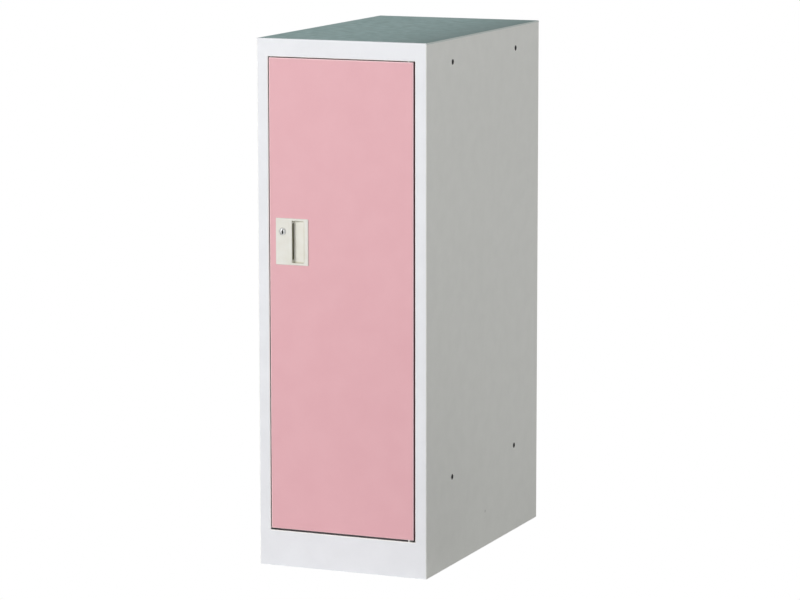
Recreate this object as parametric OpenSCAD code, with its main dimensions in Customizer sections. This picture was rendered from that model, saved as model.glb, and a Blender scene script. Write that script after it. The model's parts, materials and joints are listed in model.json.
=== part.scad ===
// Mini locker: a folded sheet-steel cabinet with one inset door on pivot pins,
// a recessed pull handle with a cam lock, one shelf, a hanger rail and four levellers.
// Millimetres, +Z up, front towards -Y. The origin is the bottom centre of the whole box.

/* [Cabinet] */
// Width of the cabinet
cabinet_w = 300; // [260:1:450]
// Depth of the cabinet, without the handle
cabinet_d = 515; // [420:1:600]
// Height of the cabinet
cabinet_h = 880; // [800:1:1200]
// Thickness of the steel sheet
sheet_t = 0.8; // [0.6:0.1:1]
// Outside radius of the folds
bend_r = 1.8; // [1.4:0.1:2.4]
// Width of each stile beside the door
stile_w = 20; // [17:1:30]
// Height of the header above the door
header_h = 30; // [24:1:60]
// Height of the kick plate below the door
kick_h = 60; // [54:1:100]
// Width of the stop flange that goes round the door opening
stop_w = 10; // [9:1:14]
// Space between the closed door and the stop flange
stop_gap = 3; // [2.6:0.1:5]
// Width of the fold along each side panel's back edge
rear_fold_w = 14; // [8:1:25]
// Height of the folded edges of the floor
floor_fold_h = 12; // [8:1:20]
// Overlap of the floor under the kick plate's top fold
floor_lap = 6; // [4:0.5:7]
// Space between the floor and the side panels
floor_gap = 0.2; // [0.2:0.1:0.6]

/* [Side holes] */
// Diameter of the holes for joining lockers side by side
side_hole_d = 7.5; // [6:0.1:10]
// Distance between the front and rear holes
side_hole_pitch_y = 288; // [200:1:320]
// Distance between the lower and upper holes
side_hole_pitch_z = 691; // [500:1:720]
// Distance of the upper holes from the top
side_hole_drop = 39; // [25:1:60]

/* [Door] */
// Depth of the folded door
door_depth = 18; // [17:1:24]
// Gap beside the door at the lock
door_gap_lock = 1.3; // [1:0.1:3]
// Gap beside the door at the hinge
door_gap_hinge = 3; // [2.5:0.1:5]
// Gap above the door
door_gap_top = 1.3; // [1:0.1:3]
// Gap below the door
door_gap_bottom = 3; // [1:0.1:4]
// Width of the fold round the back of the door
door_fold_w = 12; // [8:1:16]
// Width of the stiffener's crown
stiffener_w = 46; // [30:1:70]
// Width of each of the stiffener's feet
stiffener_foot_w = 12; // [8:1:18]
// Distance of the stiffener's middle from the middle of the cabinet
stiffener_x = 22; // [10:1:30]

/* [Hinge] */
// Diameter of the pivot pins
pin_d = 5; // [4:0.1:5.6]
// Distance of the pivot from the door's edge
pivot_in = 6; // [5.6:0.1:8]
// Distance of the pivot from the door's face
pivot_back = 6; // [5.6:0.1:6.8]
// Length of pin inside the door
pin_reach = 9; // [7:0.5:14]
// Height of the pin's head
pin_head_h = 2; // [1.5:0.1:3]
// How far the pin's head reaches past the pin all round
pin_head_lip = 2; // [1:0.1:3]
// Radial clearance of the pin in its bush
pin_fit = 0.05; // [0.02:0.01:0.09]
// Wall of the bush
bush_wall = 1.4; // [1:0.1:1.6]
// How far the bush's washer reaches past the bush
bush_lip = 1.4; // [0.8:0.1:1.6]
// Play between the bush's washer and the cabinet
bush_play = 0.3; // [0.2:0.05:0.5]
// Thickness of the hinge plates
hinge_plate_t = 3; // [2:0.5:4]
// Width of the hinge plates, across the door
hinge_plate_w = 22; // [18:1:30]
// Depth of the hinge plates, front to back
hinge_plate_d = 11; // [9:0.5:12]

/* [Handle] */
// Width of the handle plate
handle_w = 58.3; // [56:0.1:70]
// Height of the handle plate
handle_h = 77.5; // [74:0.5:100]
// How far the handle plate stands proud of the door
handle_proud = 1.2; // [0.8:0.1:2.5]
// Distance of the handle plate from the door's edge
handle_edge = 11.5; // [8:0.1:20]
// Height of the handle plate's lower edge above the ground
handle_z = 507.8; // [300:0.1:600]
// Width of the plate's flat part, which carries the lock
handle_flat_w = 29.2; // [28:0.1:34]
// Width of the finger recess
recess_w = 22.4; // [18:0.1:26]
// Height of the finger recess
recess_h = 70; // [60:1:72]
// Depth of the finger pocket behind the door's face
recess_depth = 12.2; // [10:0.1:13]
// Depth of the recess floor at its foot, where it meets the pocket
recess_foot = 4.8; // [3:0.1:7]
// Width of the pocket in front of the recess floor's foot
slit_w = 5.4; // [5:0.1:8]
// Distance of the pocket's ends from the recess's ends
pocket_end = 5; // [2:0.5:10]
// Depth of the recess floor at its shallow side
recess_rise = 0.6; // [0.4:0.1:2]
// How far the pocket runs on behind the flat part
undercut_w = 7.5; // [6:0.1:8]
// Thickness of the lip over the undercut
lip_t = 2.4; // [2:0.1:3]
// Wall of the handle's box
handle_wall = 1.5; // [1.2:0.1:1.6]
// Clearance of the handle's box in the door
handle_fit = 0.3; // [0.2:0.1:0.4]
// Width of the handle's snap ribs
snap_w = 12; // [8:1:16]
// Height of the handle's snap ribs
snap_h = 1; // [0.8:0.1:1.5]
// Thickness of the handle's snap ribs
snap_t = 2; // [1:0.1:3]

/* [Lock] */
// Distance of the lock from the handle plate's outer edge
lock_in = 12.1; // [12:0.1:13]
// Distance of the lock from the handle plate's upper edge
lock_drop = 22.2; // [16:0.1:40]
// Diameter of the lock's visible head
lock_head_d = 12.2; // [12:0.1:15]
// How far the lock's head stands proud of the handle plate
lock_proud = 0.8; // [0.5:0.1:2]
// Diameter of the lock barrel
barrel_d = 11.2; // [10.4:0.1:11.6]
// Clearance of the barrel in the door and handle
barrel_fit = 0.15; // [0.1:0.05:0.3]
// Diameter of the turning plug
plug_d = 8.4; // [7.5:0.1:9]
// Radial clearance of the plug in the barrel
plug_fit = 0.05; // [0.02:0.01:0.09]
// Width of the keyway
keyway_w = 1.9; // [1:0.1:2]
// Height of the keyway below the plug's centre
keyway_h = 3.4; // [2.5:0.1:3.6]
// Depth of the keyway
keyway_depth = 12; // [8:1:14]
// Size of the lock nut across its flats
lock_nut_af = 14; // [13.4:0.1:14.4]
// Thickness of the lock nut
lock_nut_t = 4; // [3:0.5:6]
// Length of the cam from the lock's centre
cam_len = 32; // [28:1:36]
// Width of the cam
cam_w = 12; // [10:0.5:14]
// Thickness of the cam
cam_t = 2; // [1.5:0.1:3]
// Clearance between the cam and the keeper
cam_gap = 0.5; // [0.3:0.1:1]
// Size of the square that drives the cam
cam_square = 5; // [4.4:0.1:5.2]
// Clearance of the cam on its square
cam_fit = 0.05; // [0.02:0.01:0.2]
// Diameter of the cam screw
cam_screw_d = 3; // [2.6:0.1:3.4]
// Length of the cam screw inside the plug
cam_screw_reach = 7; // [5:0.5:8]
// Diameter of the cam screw's head
cam_screw_head_d = 8; // [7:0.5:10]
// Height of the cam screw's head
cam_screw_head_h = 2.2; // [1.5:0.1:3]
// Thickness of the keeper behind the stop flange
keeper_t = 1.2; // [0.8:0.1:2]
// Height of the keeper
keeper_h = 44; // [30:1:60]

/* [Catch and bumpers] */
// Gap between the closed door and what it rests against
catch_gap = 0.3; // [0.2:0.1:0.5]
// Height of the catch plate
catch_h = 56; // [50:1:70]
// Thickness of the catch plate
catch_t = 0.8; // [0.6:0.1:1]
// Height of the magnet
magnet_h = 36; // [25:1:38]
// Space at each side of the magnet on the stop flange
catch_margin = 1.5; // [1.2:0.1:2]
// Height of the catch's middle above the lock
catch_rise = 110; // [60:1:150]
// Diameter of the catch's rivets
rivet_d = 2.4; // [2:0.1:3]
// Diameter of the rivets' heads
rivet_head_d = 4.4; // [3.8:0.1:5]
// Height of the rivets' heads
rivet_head_h = 0.9; // [0.6:0.1:1]
// Diameter of the rubber bumpers
bumper_d = 7; // [6:0.1:7.4]
// Diameter of the bumpers' studs
bumper_stud_d = 3.6; // [3:0.1:4]
// Length of the bumpers' barbs behind the stop flange
bumper_barb = 2; // [1.5:0.1:3]
// Distance of the bumpers from the opening's top and bottom
bumper_end = 60; // [40:1:100]
// Clearance of the rivets and studs in their holes
fastener_fit = 0.1; // [0.05:0.01:0.15]

/* [Shelf] */
// Height of the shelf's upper face above the ground
shelf_z = 640; // [640:1:720]
// Height of the shelf's folded edges
shelf_fold_h = 15; // [10:1:20]
// Gap at each side of the shelf
shelf_gap = 0.8; // [0.5:0.1:3]
// Distance of the shelf behind the stop flange
shelf_setback = 28; // [15:1:60]
// Width of the shelf angles' upper leg
shelf_angle_w = 15; // [12:1:25]
// Height of the shelf angles' side leg
shelf_angle_h = 20; // [12:1:22]
// Thickness of the shelf angles
shelf_angle_t = 1.2; // [1:0.1:1.5]
// Outside radius of the angles' fold
angle_bend_r = 2.4; // [2.2:0.1:3]

/* [Hanger rail] */
// Diameter of the rail
rail_d = 16; // [12:0.5:25]
// Wall of the rail
rail_wall = 1; // [0.8:0.1:2]
// Distance of the rail's centre below the shelf angles' upper leg
rail_drop = 44; // [42:1:60]
// Thickness of the rail socket's base
socket_base_t = 2.5; // [2:0.5:4]
// How far the socket's base reaches past its cup
socket_lip = 5; // [3:0.5:7]
// Wall of the socket's cup
socket_wall = 2; // [1.5:0.5:3]
// Depth of the socket's cup
socket_cup = 10; // [6:1:16]
// Clearance of the rail in its sockets
rail_fit = 0.1; // [0.05:0.05:0.3]

/* [Base and levellers] */
// Height of the base rails' lower leg above the ground
base_rail_z = 13; // [12:1:18]
// Width of the base rails' lower leg
base_rail_w = 40; // [36:1:50]
// Height of the base rails' side leg
base_rail_h = 24; // [16:1:30]
// Thickness of the base rails
base_rail_t = 1.6; // [1.2:0.1:2]
// Distance of the base rails' ends from the front and back
base_rail_end = 6; // [3:1:20]
// Distance of the levellers from the side panels
leveller_in = 22; // [18:1:24]
// Distance of the levellers from the base rails' ends
leveller_end = 34; // [20:1:60]
// Diameter of the leveller's foot
leveller_foot_d = 24; // [18:1:30]
// Height of the leveller's foot
leveller_foot_h = 5; // [3:0.5:7]
// Space under the foot when the leveller is screwed in
leveller_lift = 1; // [0.6:0.1:2]
// Diameter of the leveller's stud
leveller_stud_d = 8; // [6:0.5:9]
// Length of the leveller's stud
leveller_stud_l = 38; // [30:1:40]
// Radial clearance of the stud in its nut
leveller_fit = 0.06; // [0.02:0.01:0.09]
// Size of the leveller's nut across its flats
leveller_nut_af = 13; // [12:0.5:16]
// Thickness of the leveller's nut
leveller_nut_t = 6.5; // [5:0.5:8]

/* [Hidden] */
$fn = 48;
// Small overrun of a cutting solid past the face that it cuts
cut = 1;

front_proud = handle_proud + lock_proud;
front_y = (front_proud - cabinet_d) / 2;
back_y = front_y + cabinet_d;
// Inner faces of the side panels and of the back panel
inner_x = cabinet_w / 2 - sheet_t;
inner_back_y = back_y - 2 * sheet_t;

opening_x = cabinet_w / 2 - stile_w;
opening_w = 2 * opening_x;
opening_top = cabinet_h - header_h;
opening_h = opening_top - kick_h;
stop_depth = door_depth + stop_gap;
stop_y = front_y + stop_depth;
stop_mid_x = -opening_x + stop_w / 2;
stop_back_y = stop_y + sheet_t;
// Height of the top panel's rim, which stands on the panels below it
top_rim = bend_r + sheet_t;
side_h = cabinet_h - top_rim;

floor_front_y = stop_y - floor_lap;
floor_top = kick_h - sheet_t;

door_x = door_gap_lock - opening_x;
door_w = opening_w - door_gap_lock - door_gap_hinge;
door_z = kick_h + door_gap_bottom;
door_h = opening_h - door_gap_bottom - door_gap_top;
door_back_y = front_y + door_depth;

pivot_x = door_x + door_w - pivot_in;
pivot_y = front_y + pivot_back;
pin_r = pin_d / 2;
bush_r = pin_r + pin_fit + bush_wall;
hinge_plate_x = pivot_x + pivot_in - bend_r - hinge_plate_w;

handle_x = door_x + handle_edge;
recess_x = handle_x + handle_flat_w;
recess_z = handle_z + (handle_h - recess_h) / 2;
box_x = recess_x - undercut_w - handle_wall;
box_w = undercut_w + recess_w + 2 * handle_wall;
box_z = recess_z - handle_wall;
box_h = recess_h + 2 * handle_wall;

lock_x = handle_x + lock_in;
lock_z = handle_z + handle_h - lock_drop;
crown_x = stiffener_w / 2;
crown_y = door_depth - sheet_t;
plate_face_y = front_y - handle_proud;
lip_back_y = plate_face_y + lip_t;
cam_y = stop_back_y + keeper_t + cam_gap;
barrel_r = barrel_d / 2;
// Small running gap between the fixed barrel and the turning cam
cam_clear = 0.3;
barrel_end_y = cam_y - cam_clear;
lock_face_y = plate_face_y - lock_proud;
plug_r = plug_d / 2;

catch_z = lock_z + catch_rise;
rivet_heights = [for (side = [-1, 1]) catch_z + side * (catch_h + magnet_h) / 4];
bumper_heights = [kick_h + bumper_end, opening_top - bumper_end];

shelf_front_y = stop_back_y + shelf_setback;
shelf_back_y = inner_back_y - shelf_gap;
shelf_seat_z = shelf_z - shelf_fold_h;
shelf_d = shelf_back_y - shelf_front_y;
rail_z = shelf_seat_z - rail_drop;
rail_y = (shelf_front_y + shelf_back_y) / 2;
rail_r = rail_d / 2;

base_rail_front_y = front_y + base_rail_end;
base_rail_back_y = inner_back_y - base_rail_end;
leveller_x = inner_x - leveller_in;
leveller_front_y = base_rail_front_y + leveller_end;
leveller_back_y = base_rail_back_y - leveller_end;
stud_r = leveller_stud_d / 2;

white = [0.91, 0.91, 0.93];
side_white = [0.70, 0.70, 0.69];
top_grey = [0.52, 0.58, 0.57];
pink = [0.89, 0.69, 0.72];
cream = [0.88, 0.87, 0.84];
zinc = [0.72, 0.74, 0.76];
steel = [0.60, 0.61, 0.63];
dark = [0.16, 0.16, 0.17];
nylon = [0.93, 0.92, 0.88];

// Quarter of a fold in the +x +y quarter, with both its arcs centred on the origin
module fold_2d(r, t) {
    intersection() {
        difference() {
            circle(r);
            circle(r - t);
        }
        square(r);
    }
}

// Angle with its outer corner at the origin and its legs towards -x and -y
module angle_2d(across, down, t, r) {
    translate([-r, -r]) fold_2d(r, t);
    translate([-across, -t]) square([across - r, t]);
    translate([-t, -down]) square([t, down - r]);
}

// Rectangle from the origin with its corners rounded
module rounded_2d(w, h, r) {
    translate([r, 0]) square([w - 2 * r, h]);
    translate([0, r]) square([w, h - 2 * r]);
    for (x = [r, w - r], y = [r, h - r]) translate([x, y]) circle(r);
}

// Rectangle standing on the x axis with its two upper corners rounded
module crowned_2d(w, h, r) {
    translate([-w / 2, 0]) square([w, h - r]);
    translate([r - w / 2, 0]) square([w - 2 * r, h]);
    for (side = [-1, 1]) translate([side * (w / 2 - r), h - r]) intersection() {
        circle(r);
        translate([-r, 0]) square([2 * r, r]);
    }
}

// Edge of the opening: fold and return, x away from the opening and y into the cabinet
module return_2d() {
    translate([bend_r, bend_r]) rotate(180) fold_2d(bend_r, sheet_t);
    translate([0, bend_r]) square([sheet_t, stop_depth + sheet_t - 2 * bend_r]);
}

// Edge of the opening: the stop flange at the end of the return
module stop_2d() {
    translate([sheet_t - bend_r, stop_depth + sheet_t - bend_r]) fold_2d(bend_r, sheet_t);
    translate([-stop_w, stop_depth]) square([stop_w + sheet_t - bend_r, sheet_t]);
}

// Plan of a stile's face with the fold at its outer edge, x away from the opening
module stile_2d() {
    translate([bend_r, 0]) square([stile_w - 2 * bend_r, sheet_t]);
    translate([stile_w - bend_r, bend_r]) rotate(270) fold_2d(bend_r, sheet_t);
}

// Plan of a side panel's wall and rear fold, x away from the opening
module side_2d() {
    translate([stile_w - sheet_t, bend_r]) square([sheet_t, cabinet_d - 2 * bend_r]);
    translate([stile_w - bend_r, cabinet_d - bend_r]) fold_2d(bend_r, sheet_t);
    translate([stile_w - rear_fold_w, cabinet_d - sheet_t]) square([rear_fold_w - bend_r, sheet_t]);
}

// Box centred on x and y, standing on z = 0, with its four upper edges rounded
module crowned_box(w, d, h, r) {
    intersection() {
        rotate([90, 0, 0]) linear_extrude(d, center = true) crowned_2d(w, h, r);
        rotate([90, 0, 90]) linear_extrude(w, center = true) crowned_2d(d, h, r);
    }
}

// Sheet with its four edges folded down, centred on x and y, standing on z = 0
module tray(w, d, h) {
    difference() {
        crowned_box(w, d, h, bend_r);
        translate([0, 0, -sheet_t])
            crowned_box(w - 2 * sheet_t, d - 2 * sheet_t, h, bend_r - sheet_t);
    }
}

// Box from the origin with its edges along x and z rounded, front and back
module door_box(w, d, h, r) {
    intersection() {
        linear_extrude(h) rounded_2d(w, d, r);
        rotate([90, 0, 90]) linear_extrude(w) rounded_2d(d, h, r);
    }
}

// Cylinder from z = 0 with a round bore right through it
module ring(r, bore_r, h) {
    difference() {
        cylinder(r = r, h = h);
        translate([0, 0, -cut]) cylinder(r = bore_r, h = h + 2 * cut);
    }
}

// Hexagonal nut with two of its flats facing along x
module nut(across_flats, bore_r, h) {
    difference() {
        rotate(30) cylinder(d = across_flats / cos(30), h = h, $fn = 6);
        translate([0, 0, -cut]) cylinder(r = bore_r, h = h + 2 * cut);
    }
}

// Hole from front to back through the stop flange
module stop_hole(d, z) {
    translate([stop_mid_x, stop_y - cut, z])
        rotate([-90, 0, 0]) cylinder(r = d / 2 + fastener_fit, h = sheet_t + 2 * cut);
}

// Moves what follows from the lock's centre to the front face, z pointing back
module at_lock(y) {
    translate([lock_x, y, lock_z]) rotate([-90, 0, 0]) children();
}

// Moves what follows to a hinge on the pivot's axis. Its z = 0 is the cabinet's
// return and its +z points into the door.
module at_lower_hinge() {
    translate([pivot_x, pivot_y, kick_h]) children();
}

module at_upper_hinge() {
    translate([pivot_x, pivot_y, opening_top]) mirror([0, 0, 1]) children();
}

// Stile, a piece of its own in front of the side panel's wall
module right_stile_panel() {
    translate([opening_x, front_y, 0]) {
        linear_extrude(side_h) stile_2d();
        linear_extrude(kick_h) square([bend_r, sheet_t]);
        translate([0, 0, opening_top])
            linear_extrude(side_h - opening_top) square([bend_r, sheet_t]);
    }
}

// Return beside the opening, a piece of its own folded back from the stile
module right_return_panel() {
    translate([opening_x, front_y, kick_h]) linear_extrude(opening_h) return_2d();
}

module right_side_panel() {
    difference() {
        translate([opening_x, front_y, 0]) linear_extrude(side_h) side_2d();
        for (side = [-1, 1], step = [0, 1])
            translate([
                inner_x - cut,
                (front_y + back_y) / 2 + side * side_hole_pitch_y / 2,
                cabinet_h - side_hole_drop - step * side_hole_pitch_z
            ])
                rotate([0, 90, 0]) cylinder(d = side_hole_d, h = sheet_t + 2 * cut);
    }
}

module left_side() {
    color(side_white) mirror([1, 0, 0]) right_side_panel();
}

module right_side() {
    color(side_white) right_side_panel();
}

module left_stile() {
    color(white) mirror([1, 0, 0]) right_stile_panel();
}

module right_stile() {
    color(white) right_stile_panel();
}

module left_return() {
    color(white) mirror([1, 0, 0]) right_return_panel();
}

module right_return() {
    color(white) right_return_panel();
}

// Upright stop flange, a piece of its own at the end of the return
module right_stop_flange() {
    translate([opening_x, front_y, kick_h]) linear_extrude(opening_h) stop_2d();
}

module left_stop() {
    color(side_white) difference() {
        mirror([1, 0, 0]) right_stop_flange();
        for (z = rivet_heights) stop_hole(rivet_d, z);
        for (z = bumper_heights) stop_hole(bumper_stud_d, z);
    }
}

module right_stop() {
    color(side_white) right_stop_flange();
}

module top_panel() {
    color(top_grey) translate([0, (front_y + back_y) / 2, side_h])
        tray(cabinet_w, cabinet_d, top_rim);
}

// Rail across the opening: its face and return. x is the height away from the opening and
// z runs along the rail.
module cross_rail(face_h) {
    linear_extrude(opening_w, center = true) {
        translate([bend_r, 0]) square([face_h - bend_r, sheet_t]);
        return_2d();
    }
}

// Stop flange at the end of a cross rail's return, between the upright flanges
module cross_stop() {
    linear_extrude(opening_w - 2 * stop_w, center = true) stop_2d();
}

// Moves a cross rail's frame to the header, with the opening below it
module at_header() {
    translate([0, front_y, opening_top]) rotate([0, -90, 0]) children();
}

// Moves a cross rail's frame to the kick plate, with the opening above it
module at_kick() {
    translate([0, front_y, kick_h]) rotate([0, 90, 0]) children();
}

// Hole for a hinge pin through the cabinet's return
module pin_hole() {
    translate([0, 0, -sheet_t - cut]) cylinder(r = pin_r + fastener_fit, h = sheet_t + 2 * cut);
}

module header_rail() {
    color(white) difference() {
        at_header() cross_rail(header_h - top_rim);
        at_upper_hinge() pin_hole();
    }
}

module kick_plate() {
    color(white) difference() {
        at_kick() cross_rail(kick_h);
        at_lower_hinge() pin_hole();
    }
}

module upper_stop() {
    color(white) at_header() cross_stop();
}

module lower_stop() {
    color(white) at_kick() cross_stop();
}

module back_panel() {
    color(side_white) translate([bend_r - cabinet_w / 2, inner_back_y, 0])
        cube([cabinet_w - 2 * bend_r, sheet_t, cabinet_h - bend_r]);
}

module floor_panel() {
    color(side_white)
        translate([0, (floor_front_y + inner_back_y) / 2, floor_top - floor_fold_h])
            tray(2 * (inner_x - floor_gap), inner_back_y - floor_front_y, floor_fold_h);
}

// Angle along the right side panel, from the front to the back given, corner at height z
module side_angle(y0, y1, z) {
    translate([inner_x, y1, z]) rotate([90, 0, 0]) linear_extrude(y1 - y0) children();
}

module right_base_angle() {
    difference() {
        side_angle(base_rail_front_y, base_rail_back_y, base_rail_z)
            mirror([0, 1]) angle_2d(base_rail_w, base_rail_h, base_rail_t, angle_bend_r);
        for (y = [leveller_front_y, leveller_back_y])
            translate([leveller_x, y, base_rail_z - cut])
                cylinder(r = stud_r + leveller_fit, h = base_rail_t + 2 * cut);
    }
}

module left_base_rail() {
    color(zinc) mirror([1, 0, 0]) right_base_angle();
}

module right_base_rail() {
    color(zinc) right_base_angle();
}

module leveller_nuts() {
    color(zinc) for (side = [-1, 1], y = [leveller_front_y, leveller_back_y])
        translate([side * leveller_x, y, base_rail_z + base_rail_t])
            nut(leveller_nut_af, stud_r + leveller_fit, leveller_nut_t);
}

module leveller(side, y) {
    color(steel) translate([side * leveller_x, y, leveller_lift]) {
        cylinder(d = leveller_foot_d, h = leveller_foot_h);
        translate([0, 0, leveller_foot_h]) cylinder(r = stud_r, h = leveller_stud_l);
    }
}

module shelf() {
    color(side_white) translate([0, (shelf_front_y + shelf_back_y) / 2, shelf_seat_z])
        tray(2 * (inner_x - shelf_gap), shelf_d, shelf_fold_h);
}

module right_shelf_support() {
    side_angle(shelf_front_y, shelf_back_y, shelf_seat_z)
        angle_2d(shelf_angle_w, shelf_angle_h, shelf_angle_t, angle_bend_r);
}

module left_shelf_angle() {
    color(side_white) mirror([1, 0, 0]) right_shelf_support();
}

module right_shelf_angle() {
    color(side_white) right_shelf_support();
}

module hanger_rail() {
    rail_half = inner_x - socket_base_t;
    color(steel) translate([-rail_half, rail_y, rail_z]) rotate([0, 90, 0])
        ring(rail_r, rail_r - rail_wall, 2 * rail_half);
}

module rail_socket(side) {
    cup_r = rail_r + rail_fit + socket_wall;
    color(zinc) translate([side * inner_x, rail_y, rail_z]) rotate([0, -90 * side, 0]) {
        cylinder(r = cup_r + socket_lip, h = socket_base_t);
        translate([0, 0, socket_base_t]) ring(cup_r, rail_r + rail_fit, socket_cup);
    }
}

// Flat hinge plate lying at height z in a hinge's own frame, bored on the pivot's axis
module hinge_plate(z, bore_r) {
    difference() {
        translate([hinge_plate_x - pivot_x, bend_r - pivot_back, z])
            cube([hinge_plate_w, hinge_plate_d, hinge_plate_t]);
        translate([0, 0, z - cut]) cylinder(r = bore_r, h = hinge_plate_t + 2 * cut);
    }
}

// Plate on the far side of the cabinet's return, which holds the pin
module cabinet_hinge_plate() {
    color(zinc) hinge_plate(-sheet_t - hinge_plate_t, pin_r + fastener_fit);
}

// Plate inside the door, which holds the bush
module door_hinge_plate(gap) {
    color(zinc) hinge_plate(gap + sheet_t, bush_r + fastener_fit);
}

module hinge_pin(gap) {
    plate_back = sheet_t + hinge_plate_t;
    color(steel) {
        translate([0, 0, -plate_back - pin_head_h])
            cylinder(r = pin_r + pin_head_lip, h = pin_head_h);
        translate([0, 0, -plate_back]) cylinder(r = pin_r, h = plate_back + gap + pin_reach);
    }
}

module hinge_bush(gap) {
    bore_r = pin_r + pin_fit;
    color(nylon) {
        translate([0, 0, bush_play]) ring(bush_r + bush_lip, bore_r, gap - bush_play);
        translate([0, 0, gap]) ring(bush_r, bore_r, pin_reach);
    }
}

// Hole for a bush through the door's upper or lower wall
module bush_hole(gap) {
    translate([0, 0, gap - cut]) cylinder(r = bush_r + fastener_fit, h = sheet_t + 2 * cut);
}

module lock_keeper() {
    keeper_w = stop_w - bend_r;
    color(zinc) translate([bend_r - opening_x, stop_back_y, lock_z - keeper_h / 2])
        cube([keeper_w, keeper_t, keeper_h]);
}

module catch_plate() {
    color(zinc) difference() {
        translate([catch_margin - opening_x, stop_y - catch_t, catch_z - catch_h / 2])
            cube([stop_w - 2 * catch_margin, catch_t, catch_h]);
        translate([0, -catch_t, 0]) for (z = rivet_heights) stop_hole(rivet_d, z);
    }
}

module catch_magnet() {
    magnet_y = door_back_y + catch_gap;
    color(dark) translate([catch_margin - opening_x, magnet_y, catch_z - magnet_h / 2])
        cube([stop_w - 2 * catch_margin, stop_y - catch_t - magnet_y, magnet_h]);
}

module catch_rivets() {
    shank_l = catch_t + sheet_t;
    color(steel) for (z = rivet_heights)
        translate([stop_mid_x, stop_y - catch_t, z]) rotate([-90, 0, 0]) {
            translate([0, 0, -rivet_head_h]) cylinder(d = rivet_head_d, h = rivet_head_h);
            cylinder(d = rivet_d, h = shank_l);
            translate([0, 0, shank_l]) cylinder(d = rivet_head_d, h = rivet_head_h);
        }
}

module door_bumpers() {
    head_l = stop_gap - catch_gap;
    color(dark) for (z = bumper_heights)
        translate([stop_mid_x, stop_y, z]) rotate([-90, 0, 0]) {
            translate([0, 0, -head_l]) cylinder(d = bumper_d, h = head_l);
            cylinder(d = bumper_stud_d, h = sheet_t);
            translate([0, 0, sheet_t])
                cylinder(d = bumper_stud_d + 2 * fastener_fit + sheet_t, h = bumper_barb);
        }
}

// The folded door sheet with its walls and its open back, in its place
module door_shell() {
    difference() {
        translate([door_x, front_y, door_z]) difference() {
            door_box(door_w, door_depth, door_h, bend_r);
            translate([sheet_t, sheet_t, sheet_t]) door_box(
                door_w - 2 * sheet_t, door_depth - 2 * sheet_t, door_h - 2 * sheet_t,
                bend_r - sheet_t
            );
            translate([door_fold_w, door_depth - sheet_t - cut, door_fold_w])
                cube([door_w - 2 * door_fold_w, sheet_t + 2 * cut, door_h - 2 * door_fold_w]);
        }
        translate([box_x - handle_fit, front_y - cut, box_z - handle_fit])
            cube([box_w + 2 * handle_fit, sheet_t + 2 * cut, box_h + 2 * handle_fit]);
        at_lock(front_y - cut) cylinder(r = barrel_r + barrel_fit, h = sheet_t + 2 * cut);
        at_lower_hinge() bush_hole(door_gap_bottom);
        at_upper_hinge() bush_hole(door_gap_top);
    }
}

// Piece of the door's sheet inside a box, which starts at a place in the door and has the
// size given
module door_piece(start, size) {
    color(pink) intersection() {
        door_shell();
        translate([door_x + start[0], front_y + start[1], door_z + start[2]]) cube(size);
    }
}

// The flat of the door's face, inside the folds round its front edges
module door_skin() {
    door_piece(
        [bend_r, -cut, bend_r],
        [door_w - 2 * bend_r, bend_r + cut, door_h - 2 * bend_r]
    );
}

// Left or right wall with the fold at its front
module door_side_wall(x) {
    door_piece([x, -cut, -cut], [bend_r, door_depth - bend_r + cut, door_h + 2 * cut]);
}

// Upper or lower wall with the fold at its front
module door_end_wall(z) {
    wall_w = door_w - 2 * bend_r;
    door_piece([bend_r, -cut, z], [wall_w, door_depth - bend_r + cut, bend_r]);
}

// Left or right fold at the door's back
module door_side_fold(x) {
    door_piece([x, door_depth - bend_r, 0], [door_fold_w, bend_r, door_h]);
}

// Upper or lower fold at the door's back
module door_end_fold(z) {
    fold_l = door_w - 2 * door_fold_w;
    door_piece([door_fold_w, door_depth - bend_r, z], [fold_l, bend_r, door_fold_w]);
}

// Right half of the crown of the stiffener's hat section, x from its middle and y into
// the door
module half_crown_2d() {
    translate([0, crown_y - sheet_t]) square([crown_x - bend_r, sheet_t]);
    translate([crown_x - bend_r, crown_y - bend_r]) fold_2d(bend_r, sheet_t);
}

// Right web of the stiffener
module web_2d() {
    translate([crown_x - sheet_t, sheet_t + bend_r])
        square([sheet_t, crown_y - sheet_t - 2 * bend_r]);
}

// Right foot of the stiffener, which lies on the door's face
module foot_2d() {
    foot_x = crown_x - sheet_t + bend_r;
    translate([foot_x, sheet_t + bend_r]) rotate(180) fold_2d(bend_r, sheet_t);
    translate([foot_x, sheet_t]) square([stiffener_foot_w, sheet_t]);
}

// Runs the right half of a section and its mirror image up the door as the stiffener
module along_stiffener() {
    color(pink) translate([stiffener_x, front_y, door_z + bend_r])
        linear_extrude(door_h - 2 * bend_r) {
            children();
            mirror([1, 0]) children();
        }
}

module door_stiffener() {
    along_stiffener() half_crown_2d();
}

module stiffener_webs() {
    along_stiffener() web_2d();
}

module stiffener_feet() {
    along_stiffener() foot_2d();
}

// Plan of the handle's box. x is measured from the recess opening's outer edge, y from
// the door's face.
module handle_box_2d() {
    pocket_back = recess_depth + handle_wall;
    ramp_back = recess_foot + handle_wall;
    polygon([
        [-undercut_w - handle_wall, 0],
        [-undercut_w - handle_wall, pocket_back],
        [slit_w + handle_wall, pocket_back],
        [slit_w + handle_wall, ramp_back],
        [recess_w + handle_wall, recess_rise + handle_wall],
        [recess_w + handle_wall, 0]
    ]);
}

// Plan of the finger recess, whose floor is a ramp
module recess_2d() {
    polygon([
        [0, -handle_proud - cut],
        [recess_w, -handle_proud - cut],
        [recess_w, recess_rise],
        [slit_w, recess_foot],
        [0, recess_foot]
    ]);
}

// Plan of the finger pocket, from the ramp's foot to the space behind the lip
module pocket_2d() {
    lip_back = lip_back_y - front_y;
    translate([-undercut_w, lip_back])
        square([undercut_w + slit_w, recess_depth - lip_back]);
}

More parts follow.
